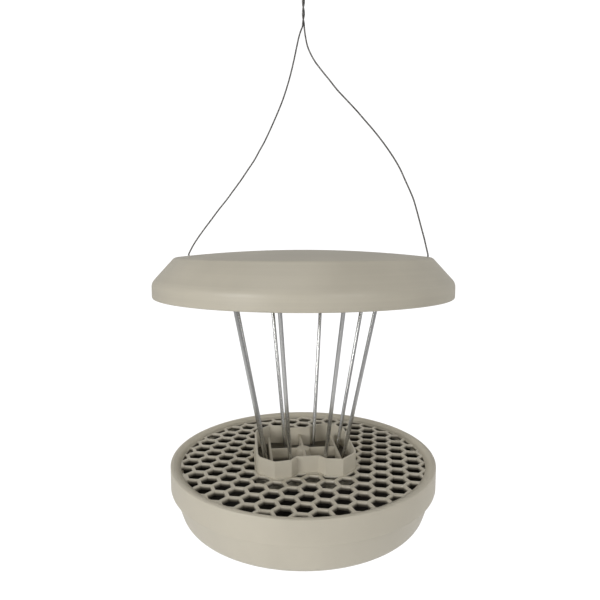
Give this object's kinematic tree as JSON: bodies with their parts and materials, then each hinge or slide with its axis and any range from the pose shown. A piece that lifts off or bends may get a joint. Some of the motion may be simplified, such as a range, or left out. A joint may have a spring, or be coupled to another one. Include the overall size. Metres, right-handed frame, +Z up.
{
  "type": "hanging food ball feeder",
  "caption": "Hanging bird feeder: a wide round roof on a bent wire, a cage of sloping steel rods for food balls, and a honeycomb tray over a catch bowl.",
  "frame": {"origin": "middle of the hanging eye, on the feeder's upright axis", "axes": "+Z up along the axis of the roof, cage and tray; the two ears of the collar face -Y and +Y; X runs across them"},
  "size_m": [0.23, 0.23, 0.4136],
  "materials": {
    "roof_plastic": "satin taupe-beige moulded plastic",
    "tray_plastic": "satin beige moulded plastic with a fine grain",
    "inner_plastic": "satin beige moulded plastic",
    "rod_steel": "bright drawn steel wire",
    "wire_steel": "dark grey steel wire"
  },
  "bodies": {
    "frame": {"rod_carrier": "inner_plastic", "rod_caps": "rod_steel", "tray_ring": "tray_plastic", "honeycomb_grid": "tray_plastic", "cage_collar": "tray_plastic", "rod_seat": "inner_plastic", "seat_screws": "rod_steel", "wire_left_leg": "wire_steel", "wire_right_leg": "wire_steel", "wire_left_tail": "wire_steel", "wire_right_tail": "wire_steel", "crimp_left": "rod_steel", "crimp_right": "rod_steel", "wire_eye": "wire_steel", "rod_1": "rod_steel", "rod_2": "rod_steel", "rod_3": "rod_steel", "rod_4": "rod_steel", "rod_5": "rod_steel", "rod_6": "rod_steel", "rod_7": "rod_steel", "rod_8": "rod_steel"},
    "roof": {"roof_shell": "roof_plastic"},
    "bowl": {"seed_bowl": "tray_plastic"}
  },
  "joints": [
    {"name": "roof_lift", "type": "slide", "parent": "frame", "child": "roof", "axis": [0, 0, 1], "range_m": [0, 0.055], "deforming": ["wire_left_leg", "wire_right_leg", "wire_left_tail", "wire_right_tail"]},
    {"name": "bowl_drop", "type": "slide", "parent": "frame", "child": "bowl", "axis": [0, 0, -1], "range_m": [0, 0.05]}
  ]
}
